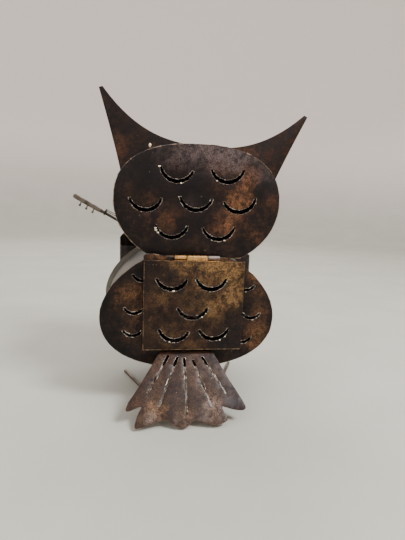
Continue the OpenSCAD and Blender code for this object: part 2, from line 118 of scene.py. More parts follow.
def rubbedPaint(name, tones, glows=(), palePatches=(), darks=(), gold="#6e4a2b", paleTint="#5c4d4b",
                purple="#0c060b", gloss=(0.38, 0.6)):
    material, tree, place = startMaterial(name)
    s = paintSizes
    # clouds of rubbed brown in the dark coat, at three sizes
    broad = addNode(tree, "TexNoise", {"Vector": place, "Scale": 1 / s["broad"], "Detail": 3,
                                       "Distortion": 0.4})
    cloud = addNode(tree, "TexNoise", {"Vector": place, "Scale": 1 / s["cloud"], "Detail": 6,
                                       "Roughness": 0.62, "Distortion": 0.6})
    mottle = addNode(tree, "TexNoise", {"Vector": place, "Scale": 1 / s["mottle"], "Detail": 5,
                                        "Roughness": 0.65})
    depth = addNode(tree, "Math", {0: mottle, 1: 0.3}, multiply)
    depth = addNode(tree, "Math", {0: broad, 1: 0.3, 2: depth}, multiplyAdd)
    depth = addNode(tree, "Math", {0: cloud, 1: 0.4, 2: depth}, multiplyAdd)
    cool = addNode(tree, "MapRange", {0: broad, 1: 0.44, 2: 0.56}, smooth)
    colour = addNode(tree, "Mix", {0: cool, 6: tones[0], 7: purple}, blend, mixed)
    brown = addNode(tree, "MapRange", {0: depth, 1: 0.42, 2: 0.52}, smooth)
    colour = addNode(tree, "Mix", {0: brown, 6: colour, 7: tones[1]}, blend, mixed)
    worn = addNode(tree, "MapRange", {0: depth, 1: 0.5, 2: 0.61}, smooth)
    colour = addNode(tree, "Mix", {0: worn, 6: colour, 7: tones[2]}, blend, mixed)
    # dark purple patches, worn gold patches and pale patches are laid over the coat, broken up by the
    # mottle; on the door and tail the gold is partly a painted highlight, and the pale patches are a painted
    # sheen on the head and painted highlights on the tail
    ragged = addNode(tree, "MapRange", {0: mottle, 1: 0.36, 2: 0.6, 3: 0.25, 4: 1.15}, smooth)
    uneven = addNode(tree, "MapRange", {0: cloud, 1: 0.38, 2: 0.58, 3: 0.4, 4: 1.1}, smooth)
    ragged = addNode(tree, "Math", {0: ragged, 1: uneven}, multiply)
    for spots, shade in ((darks, purple), (glows, gold), (palePatches, paleTint)):
        if spots:
            rubbed = addNode(tree, "Math", {0: patches(tree, place, spots), 1: ragged}, multiplyClamped)
            colour = addNode(tree, "Mix", {0: rubbed, 6: colour, 7: shade}, blend, mixed)
    # fine grain of the brushed coat, drawn at about 0.6 mm so that it shows
    fine = addNode(tree, "TexNoise", {"Vector": place, "Scale": 1 / s["grain"], "Detail": 3,
                                      "Roughness": 0.6})
    grain = addNode(tree, "MapRange", {0: fine, 1: 0.35, 2: 0.65}, smooth)
    brushed = addNode(tree, "Mix", {0: grain, 6: "#8c8c8c", 7: "#ffffff"}, blend, mixed)
    colour = addNode(tree, "Mix", {0: 1.0, 6: colour, 7: brushed}, tint, mixed)
    # pin-sized pale specks where dust stuck in the lacquer
    dust = addNode(tree, "TexNoise", {"Vector": place, "Scale": 1 / s["speck"], "Detail": 1,
                                      "Roughness": 0.3})
    dust = addNode(tree, "MapRange", {0: dust, 1: 0.79, 2: 0.83, 4: 0.5}, smooth)
    colour = addNode(tree, "Mix", {0: dust, 6: colour, 7: "#8a7766"}, blend, mixed)
    # the sheet isn't quite flat, and the coat is slightly pebbled
    wavy = addNode(tree, "TexNoise", {"Vector": place, "Scale": 1 / s["wave"], "Detail": 2,
                                      "Roughness": 0.4})
    wavy = addNode(tree, "Bump", {"Strength": 0.5, "Distance": s["waveHeight"] * mm, "Height": wavy})
    pebbled = addNode(tree, "Bump", {"Strength": 0.5, "Distance": s["pebbleHeight"] * mm,
                                     "Height": fine, "Normal": wavy})
    rough = addNode(tree, "MapRange", {0: depth, 1: 0.38, 2: 0.6, 3: gloss[1], 4: gloss[0]}, smooth)
    addNode(tree, "OutputMaterial", {"Surface": addNode(tree, "BsdfPrincipled", {
        "Base Color": colour, "Roughness": rough, "Normal": pebbled, "Specular IOR Level": 0.2})})
    return material


def bareMetal(name, light, dark, size, roughness, cover=None, amount=(0.45, 0.6), shadePatches=()):
    # bare or plated metal in clouds of this size, with what is left of the paint over it
    material, tree, place = startMaterial(name)
    cloud = addNode(tree, "TexNoise", {"Vector": place, "Scale": 1 / size, "Detail": 5,
                                       "Roughness": 0.6, "Distortion": 0.3})
    cloud = addNode(tree, "MapRange", {0: cloud, 1: 0.32, 2: 0.62}, smooth)
    colour = addNode(tree, "Mix", {0: cloud, 6: dark, 7: light}, blend, mixed)
    # handling marks half a millimetre across
    fine = addNode(tree, "TexNoise", {"Vector": place, "Scale": 1 / 0.5, "Detail": 3, "Roughness": 0.6})
    rough = addNode(tree, "MapRange", {0: fine, 1: 0.3, 2: 0.7, 3: roughness[0], 4: roughness[1]},
                    smooth)
    bare = 1.0
    if cover:
        left = addNode(tree, "TexNoise", {"Vector": place, "Scale": 1 / (0.55 * size), "Detail": 4,
                                          "Roughness": 0.6})
        bare = addNode(tree, "MapRange", {0: left, 1: amount[0], 2: amount[1], 3: 1.0, 4: 0.0}, smooth)
        colour = addNode(tree, "Mix", {0: bare, 6: cover, 7: colour}, blend, mixed)
    # painted shade: these patches are darkened to near black and made less metallic
    if shadePatches:
        paintedShade = addNode(tree, "Math", {0: patches(tree, place, shadePatches), 1: 0.0}, addClamped)
        colour = addNode(tree, "Mix", {0: paintedShade, 6: colour, 7: "#070605"}, blend, mixed)
        bare = addNode(tree, "Math", {0: bare, 1: paintedShade}, subtractClamped)
    bump = addNode(tree, "Bump", {"Strength": 0.3, "Distance": 0.05 * mm, "Height": fine})
    addNode(tree, "OutputMaterial", {"Surface": addNode(tree, "BsdfPrincipled", {
        "Base Color": colour, "Metallic": bare, "Roughness": rough, "Normal": bump})})
    return material


backY = plateOut
frontY = -plateOut
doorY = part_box("door_panel")[1].y / mm
# purple-black lacquered paint with brown clouds: reads as old bronze
headPaint = rubbedPaint(
    "rubbedDarkPaintHead", ("#080201", "#170c09", "#36231a"), gold="#805538",
    glows=[(-28, backY, 124, 12, 1.1), (-31, backY, 138, 12, 0.7), (-16, backY, 144, 10, 0.5),
           (-24, backY, 112, 13, 0.45), (24, backY, 124, 9, 0.35), (14, backY, 111, 9, 0.4),
           (-18, backY, 108, 10, 0.35), (-46, backY, 126, 9, 0.25), (-37, backY, 104, 9, 0.3)],
    darks=[(4, backY, 130, 17, 1.2), (24, backY, 139, 15, 1.0), (-3, backY, 112, 12, 0.5),
           (31, backY, 117, 10, 0.5)],
    # painted sheen: the pale grey patches along the head's top stand for the soft reflection of the light
    # there
    palePatches=[(-4, backY, 152, 19, 1.3), (-22, backY, 150, 19, 1.3), (14, backY, 147, 12, 0.6),
           (-40, backY, 140, 12, 0.4), (0, backY, 122, 7, 0.4)])
# the same paint, with a dull gold along the door's top: partly worn gold and partly a painted highlight,
# where the light from above falls first
doorPaint = rubbedPaint(
    "wornGoldAndPaintedHighlightDoor", ("#170c07", "#2c1b11", "#4a3421"), gold="#82623c", purple="#130d10",
    glows=[(4, doorY, 89, 13, 1.0), (-12, doorY, 89, 14, 1.1), (-24, doorY, 86, 15, 0.9),
           (-25, doorY, 70, 14, 1.0), (-3, doorY, 66, 12, 0.45), (16, doorY, 68, 10, 0.3),
           (-14, doorY, 60, 11, 0.5), (12, doorY, 45, 9, 0.3), (4, doorY, 38, 12, 0.15),
           (-8, doorY, 76, 9, 0.4)],
    darks=[(-25, doorY, 41, 16, 1.2), (24, doorY, 76, 12, 0.5), (22, doorY, 42, 10, 0.4),
           (-28, doorY, 52, 8, 0.5)])
# the same paint, gold only towards the body's sides: the door stands out against it
bodyPaint = rubbedPaint(
    "rubbedDarkPaintBody", ("#080403", "#1a0f0b", "#36241a"), gold="#7c5535",
    glows=[(29, backY, 71, 9, 0.4), (31, backY, 56, 8, 0.35), (34, backY, 44, 8, 0.2),
           (-41, backY, 82, 9, 0.8), (-43, backY, 68, 8, 0.3), (-43, backY, 42, 13, 0.9),
           (20, backY, 91, 10, 0.8), (-20, backY, 90, 14, 0.6), (35, backY, 66, 13, 0.5),
           (-43, backY, 57, 10, 0.4)])
# redder and duller on the horns, greyed towards the tips
hornPaint = rubbedPaint(
    "rubbedBrownPaintFaceSheet", ("#0b0302", "#201009", "#3d2516"), gold="#6a3f24", paleTint="#5a4a47",
    glows=[(50, frontY, 158, 16, 0.6), (-48, frontY, 152, 17, 0.9)],
    palePatches=[(70, frontY, 190, 18, 0.9), (-77, frontY, 186, 14, 0.3)])
# rubbed almost through on the tail: pinkish brown, with painted gold highlights and painted pale highlights
# on the lobes near the table
tailPaint = rubbedPaint(
    "rubbedRedBrownPaintTail", ("#301f17", "#3d291e", "#533c2e"), gold="#8a6746", paleTint="#8c7468",
    purple="#241a20",
    glows=[(18, 58, 10, 9, 0.7), (-13, 55, 14, 11, 0.3), (2, 60, 7, 9, 0.3)],
    palePatches=[(20, 60, 6, 6, 0.6), (-14, 61, 6, 9, 0.4), (0, 62, 4, 8, 0.3), (-14, 56, 12, 7, 0.7)],
    darks=[(-26, 57, 10, 10, 1.2), (-20, 50, 20, 9, 0.8), (10, 42, 28, 9, 0.3)])
# near-black paint inside the lantern: painted shade, since the inside lies in shade; it gives almost nothing
# back
insideShadePaint = rubbedPaint("blackPaintedShadeInside", ("#060505", "#0a0807", "#0f0c0a"), gloss=(0.6, 0.8))
# brown paint, rubbed evenly: a quiet surface behind the plates
wingPaint = rubbedPaint("rubbedBrownPaintWings", ("#0f0a08", "#231712", "#3a2a20"))
# gold paint with dark left in its hollows: the brightest coat, and the glossiest
goldPaint = rubbedPaint("rubbedGoldPaintFace", ("#20140c", "#4a3018", "#7a552c"), gold="#8f6a3a",
                        gloss=(0.28, 0.45))
# copper paint on the guitar: a warm, slightly glossy red-brown
guitarPaint = rubbedPaint("rubbedCopperPaintGuitar", ("#20100a", "#4d2917", "#7a4826"),
                          gloss=(0.28, 0.42))
# thin steel with a worn grey primer: a pale, slightly green band that mirrors its surroundings
# painted shade: a near-black patch over the middle of the front plate's inner face, seen through the door
# opening and slots, where the chamber's inside lies in shade
primedSteel = bareMetal("primedSteelRim", "#6c6a65", "#55524d", 30, (0.36, 0.5),
                        shadePatches=[(0, frontY, 50, 52, 2.4)])
# sheared edges, rubbed to bare steel in places: a thin broken line round each plate
cutEdge = bareMetal("rubbedSteelEdge", "#a8927c", "#5c4a3d", 6, (0.35, 0.55), "#20150f", (0.46, 0.56))
# steel thrown up by the chisel: short bright flecks with paint between them
burrSteel = bareMetal("chiselBurrSteel", "#e6dcd0", "#8d7866", 1.8, (0.3, 0.5), "#1c120d", (0.46, 0.54))
# the same on the tail, where more of the paint is gone: longer and duller flecks
tailBurr = bareMetal("chiselBurrTail", "#d8cdbf", "#6e5848", 3.0, (0.35, 0.5), "#3a281e", (0.42, 0.52))
# mild steel rod with a thin grey-brown lacquer: a soft highlight along its length
rodSteel = bareMetal("lacqueredSteelRod", "#756b63", "#484039", 5, (0.35, 0.5), "#4a3d33", (0.5, 0.7))
# the guitar's neck, left darker than its flattened headstock
brownedRod = bareMetal("brownedSteelRod", "#4f4843", "#2e2925", 5, (0.4, 0.55))
# a clean drop of weld metal, the brightest thing on the owl
weldSteel = bareMetal("paleWeldSteel", "#f1e8d2", "#d8c8a8", 1.5, (0.25, 0.4))
# gold showing through the door's paint along its folds
wornGold = bareMetal("wornGoldEdge", "#b89a78", "#6f5236", 5, (0.35, 0.5), "#2c1d12", (0.48, 0.58))
# thin brass plating on the hinge: a warm, almost clean reflection
hingeBrass = bareMetal("wornBrassPlate", "#dcb077", "#a87a45", 3, (0.2, 0.32))
# zinc under the lost plating: grey, and duller than the brass
hingeSteel = bareMetal("wornZincPlate", "#91847f", "#685d59", 3, (0.3, 0.42))
# tinned steel, pressed: pale, with soft bright reflections
tinPan = bareMetal("tinnedSteelPan", "#c9c6be", "#a09c92", 9, (0.22, 0.38))
print("materials made")


# Small tools for shapes. Plates are drawn flat, outer face on Z = 0 and thickness towards +Z

def egg(width, up, low, upPower, lowPower, steps=288, floor=-1000, ceiling=1000, shift=0):
    loop = []
    for i in range(steps):
        a = 2 * math.pi * (i + 0.5) / steps
        c, s = math.cos(a), math.sin(a)
        power = upPower if s > 0 else lowPower
        x = width / 2 * math.copysign(abs(c) ** (2 / power), c)
        z = (up if s > 0 else low) * math.copysign(abs(s) ** (2 / power), s)
        loop.append((x + shift, min(ceiling, max(floor, z))))
    return loop


def crescent(cut, chord, drop, seed, fat=2.1, thin=1.1):
    # a slot chiselled in short bites along an arc: fat in the middle, thin at both ends
    dice = random.Random(seed)
    across, up, turn = cut
    radius = (chord * chord / 4 + drop * drop) / (2 * drop)
    reach = math.atan2(chord / 2, radius - drop)
    count = max(12, round(2 * reach * radius / 0.55))
    sides = [], []
    for i in range(count + 1):
        t = 2 * i / count - 1
        bite = (0.16 if (i // 3) % 2 else 0.0) + dice.uniform(-0.1, 0.1)
        half = 0.5 * (thin + (fat - thin) * (1 - abs(t) ** 2.2))
        for side, way in zip(sides, (1, -1)):
            r = radius + way * (half + bite * (1 if way > 0 else 0.8))
            side.append((r * math.sin(t * reach), radius - drop - r * math.cos(t * reach)))
    c, s = math.cos(math.radians(turn)), math.sin(math.radians(turn))
    loop = sides[0] + sides[1][::-1]
    return [(across + x * c - z * s, up + x * s + z * c) for x, z in loop]


def longSlot(start, end, widths, seed):
    # a straight slot whose width changes along it
    dice = random.Random(seed)
    a, b = Vector(start), Vector(end)
    along = (b - a).normalized()
    side = Vector((-along.y, along.x))
    count = round((b - a).length / 0.6)
    left, right = [], []
    for i in range(count + 1):
        t = i / count
        k = min(int(t * (len(widths) - 1)), len(widths) - 2)
        part = t * (len(widths) - 1) - k
        half = 0.5 * (widths[k] + (widths[k + 1] - widths[k]) * part)
        middle = a + (b - a) * t + side * dice.uniform(-0.08, 0.08)
        left.append(tuple(middle + side * (half + dice.uniform(-0.12, 0.12))))
        right.append(tuple(middle - side * (half + dice.uniform(-0.12, 0.12))))
    return left + right[::-1]


def everything(bm):
    return bm.verts[:] + bm.edges[:] + bm.faces[:]


def plate(loops, thickness=sheet, edge=0.12, clip=None):
    # the first loop is the outline, and the others are holes
    bm = bmesh.new()
    for loop in loops:
        corners = [bm.verts.new((x * mm, z * mm, 0)) for x, z in loop]
        for i in range(len(corners)):
            bm.edges.new((corners[i - 1], corners[i]))
    bmesh.ops.remove_doubles(bm, verts=bm.verts[:], dist=0.02 * mm)
    bmesh.ops.triangle_fill(bm, use_beauty=True, use_dissolve=False, edges=bm.edges[:], normal=(0, 0, -1))
    if clip is not None:
        bmesh.ops.bisect_plane(bm, geom=everything(bm), plane_co=(0, clip * mm, 0),
                               plane_no=(0, 1, 0), clear_inner=True)
    made = bmesh.ops.extrude_face_region(bm, geom=bm.faces[:])
    bmesh.ops.translate(bm, verts=[v for v in made["geom"] if isinstance(v, bmesh.types.BMVert)],
                        vec=(0, 0, thickness * mm))
    bmesh.ops.recalc_face_normals(bm, faces=bm.faces[:])
    if edge:
        sharp = [e for e in bm.edges if abs(e.verts[0].co.z - e.verts[1].co.z) < 1e-7
                 and len(e.link_faces) == 2 and e.calc_face_angle() > 1]
        bmesh.ops.bevel(bm, geom=sharp, offset=edge * mm, segments=2, profile=0.5, affect="EDGES",
                        clamp_overlap=True, material=-1)
    for face in bm.faces:
        face.material_index = 1 if abs(face.normal.z) < 0.95 else 0
    return bm


def standUp(y, turn=0.0, centre=(0, 0, 0)):
    # stands a flat plate up at this depth, its outer face towards +Y
    return (Matrix.Translation(Vector(centre) * mm) @ Matrix.Rotation(math.radians(turn), 4, "Z")
            @ Matrix.Translation((0, y * mm, 0)) @ Matrix.Rotation(math.radians(90), 4, "X"))


def wires(paths, sides=1):
    # round wire along each path of (points in mm, radii in mm, closed)
    data = bpy.data.curves.new("wire", "CURVE")
    data.dimensions = "3D"
    data.bevel_depth = mm
    data.bevel_resolution = sides
    data.use_fill_caps = True
    for points, radii, closed in paths:
        spline = data.splines.new("POLY")
        spline.points.add(len(points) - 1)
        for slot, point, radius in zip(spline.points, points, radii):
            slot.co = (point[0] * mm, point[1] * mm, point[2] * mm, 1)
            slot.radius = radius
        spline.use_cyclic_u = closed
    holder = bpy.data.objects.new("wire", data)
    mesh = bpy.data.meshes.new_from_object(holder)
    bm = bmesh.new()
    bm.from_mesh(mesh)
    bpy.data.objects.remove(holder)
    bpy.data.curves.remove(data)
    bpy.data.meshes.remove(mesh)
    bmesh.ops.remove_doubles(bm, verts=bm.verts[:], dist=0.0005 * mm)
    bmesh.ops.recalc_face_normals(bm, faces=bm.faces[:])
    return bm


def burrs(loops, size, seed, place, height=0.0):
    # a ragged lip of raised steel round each loop, on the plate's outer face
    dice = random.Random(seed)
    paths = []
    for loop in loops:
        radii = []
        swell = dice.uniform(0.5, 1.0)
        for i in range(len(loop)):
            if i % 4 == 0:
                swell = dice.choice((0.3, 0.45, 0.6, 0.8, 1.2))
            radii.append(size * swell * dice.uniform(0.75, 1.2))
        paths.append(([(x, z, -height + dice.uniform(-0.05, 0.05)) for x, z in loop], radii, True))
    bm = wires(paths)
    bm.transform(place)
    return bm


def chips(loops, spots, place):
    # bright flecks of metal left on a slot's lower lip: (slot, share of its width from the left, radius)
    parts = []
    for slot, share, radius in spots:
        half = len(loops[slot]) // 2
        x, z = loops[slot][min(half - 1, round((1 - share) * half))]
        blob = bmesh.new()
        bmesh.ops.create_icosphere(blob, subdivisions=2, radius=radius * mm)
        for vert in blob.verts:
            vert.co *= 1 + 0.3 * noise.noise(vert.co * 1500 + Vector((slot, share, 0)))
        bmesh.ops.scale(blob, vec=(1.3, 0.9, 0.6), verts=blob.verts[:])
        bmesh.ops.translate(blob, vec=(x * mm, z * mm, 0), verts=blob.verts[:])
        parts.append(blob)
    whole = join(parts)
    whole.transform(place)
    return whole


def lathe(profile, place, steps=32):
    # turns a closed outline of (radius, height) in mm about Z
    bm = bmesh.new()
    corners = [bm.verts.new((r * mm, 0, h * mm)) for r, h in profile]
    rim = [bm.edges.new((corners[i - 1], corners[i])) for i in range(len(corners))]
    bmesh.ops.spin(bm, geom=corners + rim, cent=(0, 0, 0), axis=(0, 0, 1), angle=2 * math.pi,
                   steps=steps, use_merge=True)
    bmesh.ops.remove_doubles(bm, verts=bm.verts[:], dist=0.001 * mm)
    bmesh.ops.recalc_face_normals(bm, faces=bm.faces[:])
    bm.transform(place)
    return bm


def block(size, centre, edge=0.1, place=None):
    bm = bmesh.new()
    bmesh.ops.create_cube(bm, size=mm)
    bmesh.ops.scale(bm, vec=size, verts=bm.verts[:])
    bmesh.ops.translate(bm, vec=Vector(centre) * mm, verts=bm.verts[:])
    bmesh.ops.bevel(bm, geom=bm.edges[:], offset=edge * mm, segments=3, profile=0.5, affect="EDGES",
                    material=-1)
    if place is not None:
        bm.transform(place)
    return bm


def join(parts):
    whole = bmesh.new()
    for bm in parts:
        scratch = bpy.data.meshes.new("scratch")
        bm.to_mesh(scratch)
        whole.from_mesh(scratch)
        bm.free()
        bpy.data.meshes.remove(scratch)
    return whole


def fromCad(node, edge=0.15, sharp=35):
    # a merged copy of a CAD node's mesh with its hard edges rounded
    bm = bmesh.new()
    bm.from_mesh(frame["nodes"][node].data)
    bmesh.ops.remove_doubles(bm, verts=bm.verts[:], dist=0.001 * mm)
    bmesh.ops.dissolve_limit(bm, angle_limit=math.radians(0.5), verts=bm.verts[:], edges=bm.edges[:])
    hard = [e for e in bm.edges
            if edge and len(e.link_faces) == 2 and e.calc_face_angle() > math.radians(sharp)]
    bmesh.ops.bevel(bm, geom=hard, offset=edge * mm, segments=2, profile=0.5, affect="EDGES",
                    clamp_overlap=True, material=-1)
    for face in bm.faces:
        face.material_index = 0
    return bm


def finish(name, bm, materials, body, replaced=(), crease=35):
    # makes the piece's object, which rides its body and may stand in for CAD nodes
    mesh = bpy.data.meshes.new(name)
    for face in bm.faces:
        face.smooth = True
    bm.to_mesh(mesh)
    bm.free()
    mesh.set_sharp_from_angle(angle=math.radians(crease))
    for material in materials:
        mesh.materials.append(material)
    piece = bpy.data.objects.new(name, mesh)
    bpy.context.scene.collection.objects.link(piece)
    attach(piece, body)
    if replaced:
        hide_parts(*replaced)
    return piece


def paintCad(node, material):
    mesh = frame["nodes"][node].data
    mesh.materials.clear()
    mesh.materials.append(material)


# The body drum
bodySizes = {"width": 103.4, "up": 41, "low": 31.5, "upPower": 1.8, "lowPower": 2.3, "shift": -0.7,
             "level": 55.5, "margin": 2.5, "lip": 1.0, "seam": 0.1}
bodyAt = (0, 0, bodySizes["level"])
bodyTop = neckZ - bodySizes["level"]


def bodyLoop(inset=0.0, cut=0.0):
    s = bodySizes
    return egg(s["width"] - 2 * inset, s["up"] - inset, s["low"] - inset, s["upPower"], s["lowPower"],
               ceiling=bodyTop - cut, shift=s["shift"])


doorLow, doorHigh = [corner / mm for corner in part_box("door_panel")]
doorMiddle = (doorLow.x + doorHigh.x) / 2
opening = {"width": 42, "height": 40, "drop": 2}
openLow = (doorLow.z + doorHigh.z - opening["height"]) / 2 - opening["drop"] - bodySizes["level"]
openLoop = [(doorMiddle + sx * opening["width"] / 2, openLow + sz * opening["height"])
            for sx, sz in ((-1, 0), (1, 0), (1, 1), (-1, 1))]
# each slot's place across and up, and its turn in degrees
sideCuts = [(26.9, 24.5, 5), (31.6, 5, 3), (32.2, -8.5, 3),
            (-34.6, 19.5, 0), (-38.8, 2.2, 0), (-34.1, -13, -2)]
sideSizes = {"chord": 11, "drop": 3.3, "fat": 1.9, "thin": 1.0}
sideSlots = [crescent(cut, seed=40 + i, **sideSizes) for i, cut in enumerate(sideCuts)]

# a tab stands up beside the neck, over the door's left corner
tabSizes = {"width": 13, "height": 1.6, "root": 2.1}
tabEdge = [(0, 0.2), (0.09, 0.7), (0.22, 1), (0.45, 0.95), (0.75, 0.55), (1, 0)]
tabStart = doorHigh.x
tabEnd = tabStart - tabSizes["width"]
bodyEdge = bodyLoop(cut=bodySizes["seam"])
bodyEdge = ([p for p in bodyEdge if p[1] > 0 and p[0] > tabStart]
            + [(tabStart, bodyTop - tabSizes["root"])]
            + [(tabStart - across * tabSizes["width"], bodyTop + up * tabSizes["height"] - bodySizes["seam"])
               for across, up in tabEdge]
            + [p for p in bodyEdge if p[1] < 0 or p[0] < tabEnd])
bodyPlace = standUp(plateOut, centre=bodyAt)
bm = plate([bodyEdge, openLoop] + sideSlots)
bm.transform(bodyPlace)
finish("bodyBackPlate", bm, [bodyPaint, cutEdge], "owl", ["body_back_plate"])
finish("bodySlotBurrs", burrs(sideSlots, 0.22, 7, bodyPlace), [burrSteel], "owl")
bm = burrs([bodyEdge], 0.2, 8, bodyPlace, height=-0.1)
finish("bodyPlateRolledEdge", bm, [cutEdge], "owl")

bm = plate([bodyLoop(inset=-bodySizes["margin"], cut=bodySizes["seam"])])
# its inner side, seen past the back plate's edge, kept its primer
for face in bm.faces:
    if face.normal.z < -0.95:
        face.material_index = 2
bm.transform(standUp(-plateIn, centre=bodyAt))
finish("bodyFrontPlate", bm, [bodyPaint, cutEdge, primedSteel], "owl", ["body_front_plate"])


# how many rows of faces, half the light hole's sizes, and the dents' waves per metre
drumSizes = {"rows": 22, "holeWidth": 17, "holeDepth": 22, "wavesAround": 45, "wavesAlong": 35}


def drum(loop, centre, turn, dent, seed):
    # the rolled side wall between two plates, dented a little, and open where the light passes
    # through the neck
    bm = bmesh.new()
    corners = [bm.verts.new((x * mm, -plateIn * mm, z * mm)) for x, z in loop]
    edges = [bm.edges.new((corners[i - 1], corners[i])) for i in range(len(corners))]
    bmesh.ops.remove_doubles(bm, verts=bm.verts[:], dist=0.02 * mm)
    edges = bm.edges[:]
    for row in range(drumSizes["rows"]):
        made = bmesh.ops.extrude_edge_only(bm, edges=edges)["geom"]
        edges = [g for g in made if isinstance(g, bmesh.types.BMEdge)]
        bmesh.ops.translate(bm, verts=[g for g in made if isinstance(g, bmesh.types.BMVert)],
                            vec=(0, 2 * plateIn / drumSizes["rows"] * mm, 0))
    bmesh.ops.recalc_face_normals(bm, faces=bm.faces[:])
    bm.normal_update()
    if sum(f.normal.dot(f.calc_center_median() * Vector((1, 0, 1))) for f in bm.faces) < 0:
        bmesh.ops.reverse_faces(bm, faces=bm.faces[:])
        bm.normal_update()
    for vert in bm.verts:
        middle = 1 - (vert.co.y / (plateIn * mm)) ** 2
        around, along = drumSizes["wavesAround"], drumSizes["wavesAlong"]
        wave = noise.noise(Vector((vert.co.x * around + seed, vert.co.y * along, vert.co.z * around)))
        vert.co += vert.normal * (wave - 0.45) * dent * mm * middle
    bm.transform(Matrix.Translation(Vector(centre) * mm) @ Matrix.Rotation(math.radians(turn), 4, "Z"))
    nearNeck = 3
    for axis, size in (((1, 0, 0), drumSizes["holeWidth"]), ((0, 1, 0), drumSizes["holeDepth"])):
        for way in (-1, 1):
            near = [f for f in bm.faces if abs(f.calc_center_median().z - neckZ * mm) < nearNeck * mm]
            parts = near + list({e for f in near for e in f.edges})
            parts += list({v for f in near for v in f.verts})
            bmesh.ops.bisect_plane(bm, geom=parts, dist=1e-7, plane_co=Vector(axis) * way * size * mm,
                                   plane_no=axis)
    gone = []
    for face in bm.faces:
        middle = face.calc_center_median() / mm
        inHole = abs(middle.x) < drumSizes["holeWidth"] and abs(middle.y) < drumSizes["holeDepth"]
        if inHole and abs(middle.z - neckZ) < nearNeck:
            gone.append(face)
    bmesh.ops.delete(bm, geom=gone, context="FACES")
    bmesh.ops.solidify(bm, geom=bm.faces[:], thickness=sheet * mm)
    return bm


bm = drum(bodyLoop(inset=bodySizes["lip"]), bodyAt, 0, 0.5, 3)
finish("bodyDrum", bm, [primedSteel], "owl", ["body_rim"], crease=50)

# The head drum, turned a little on the neck
headSizes = {"width": 95, "up": 32.2, "low": 37.8, "upPower": 2.4, "lowPower": 2.0, "rise": 31.5,
             "turn": -6, "centre": (-6.9, -1.61, 122.5), "margin": 2.5, "lip": 1.0, "seam": 0.1,
             "roll": 4.4}


def headLoop(inset=0.0, cut=0.0, floor=None):
    s = headSizes
    return egg(s["width"] - 2 * inset, s["up"] - inset, s["low"] - inset, s["upPower"], s["lowPower"],
               floor=-s["rise"] + cut if floor is None else floor)


headCuts = [(11.8, 18.4, 6), (-17, 19, -1), (29.3, 1.6, -1), (0.4, 2.6, 2), (-24.6, 2.4, -9),
            (14, -13.6, 0), (-13.2, -13.8, -3)]
headSlotSizes = {"chord": 18.4, "drop": 7, "fat": 2.3, "thin": 1.2}
headSlots = [crescent(cut, seed=20 + i, **headSlotSizes) for i, cut in enumerate(headCuts)]
headEdge = headLoop(cut=headSizes["seam"])
headPlace = standUp(plateOut, headSizes["turn"], headSizes["centre"])
bm = plate([headEdge] + headSlots)
bm.transform(headPlace)
finish("headBackPlate", bm, [headPaint, cutEdge], "owl", ["head_back_plate"])
finish("headSlotBurrs", burrs(headSlots, 0.24, 5, headPlace), [burrSteel], "owl")
bm = burrs([headEdge], 0.26, 6, headPlace, height=-0.1)
finish("headPlateRolledEdge", bm, [cutEdge], "owl")
headChips = [(0, 0.0, 0.6), (0, 0.03, 0.5), (0, 0.64, 0.5), (1, 0.28, 0.4), (5, 0.08, 0.5),
             (5, 0.14, 0.6), (5, 0.2, 0.5), (6, 0.62, 0.5), (3, 0.0, 0.3), (4, 0.9, 0.3)]
finish("headSlotChips", chips(headSlots, headChips, headPlace), [weldSteel], "owl")
# a drop of weld left on the head's top edge
weldSizes = {"x": 27.2, "z": 30.4, "radius": 1.1}
blob = bmesh.new()
bmesh.ops.create_icosphere(blob, subdivisions=3, radius=weldSizes["radius"] * mm)
for vert in blob.verts:
    vert.co *= 1 + 0.15 * noise.noise(vert.co * 1100)
    vert.co.x *= 0.7
    vert.co.z *= 0.6
bmesh.ops.translate(blob, vec=(weldSizes["x"] * mm, weldSizes["z"] * mm, 0.2 * mm), verts=blob.verts[:])
blob.transform(headPlace)
finish("headWeldDrop", blob, [weldSteel], "owl")
bm = drum(headLoop(inset=headSizes["lip"]), headSizes["centre"], headSizes["turn"], 0.4, 9)
finish("headDrum", bm, [wingPaint], "owl", ["head_rim"], crease=50)

# The face sheet, with both horns in one piece
hornSizes = {"reach": 73.4, "rise": 70, "tip": 2.5, "brow": 40, "leftScale": 1.03,
             "browPower": 2.5, "cheekPower": 1.15}


def hornLoop(scale):
    # one horn, from the middle of the brow round its tip to the cheek
    s = hornSizes
    half = headSizes["width"] / 2 + headSizes["margin"]
    steps = [i / 24 for i in range(1, 25)]
    brow = [(scale * (s["reach"] - s["tip"]) * t,
             s["brow"] + (scale * s["rise"] - s["brow"]) * t ** s["browPower"]) for t in steps]
    cheek = [(scale * (half + (s["reach"] - half) * t ** s["cheekPower"]), (scale * s["rise"] - 1) * t)
             for t in [1] + steps[-2::-1] + [0.01]]
    return brow + cheek


leftHorn = hornLoop(hornSizes["leftScale"])
rightHorn = [(-x, z) for x, z in hornLoop(1)]
chin = [p for p in headLoop(inset=-headSizes["margin"], floor=-1000) if p[1] < -2]
chinLeft = sorted([p for p in chin if p[0] >= 0], key=lambda p: -p[1])
chinRight = sorted([p for p in chin if p[0] < 0], key=lambda p: p[1])
faceLoop = leftHorn + chinLeft + chinRight + rightHorn[::-1] + [(0, hornSizes["brow"])]
faceCuts = [(0, 30, 0), (22, -13, 0), (-22, -13, 0)]
faceSlots = [crescent(cut, 15, 5, 60 + i) for i, cut in enumerate(faceCuts)]
roll = math.radians(headSizes["roll"])


def rolled(loop):
    c, s = math.cos(roll), math.sin(roll)
    return [(x * c - z * s, x * s + z * c) for x, z in loop]


bm = plate([rolled(loop) for loop in [faceLoop] + faceSlots], clip=headSizes["seam"] - headSizes["rise"])
bm.transform(standUp(-plateIn, headSizes["turn"], headSizes["centre"]))
finish("faceSheet", bm, [hornPaint, cutEdge], "owl", ["face_plate"])
print("drums made")

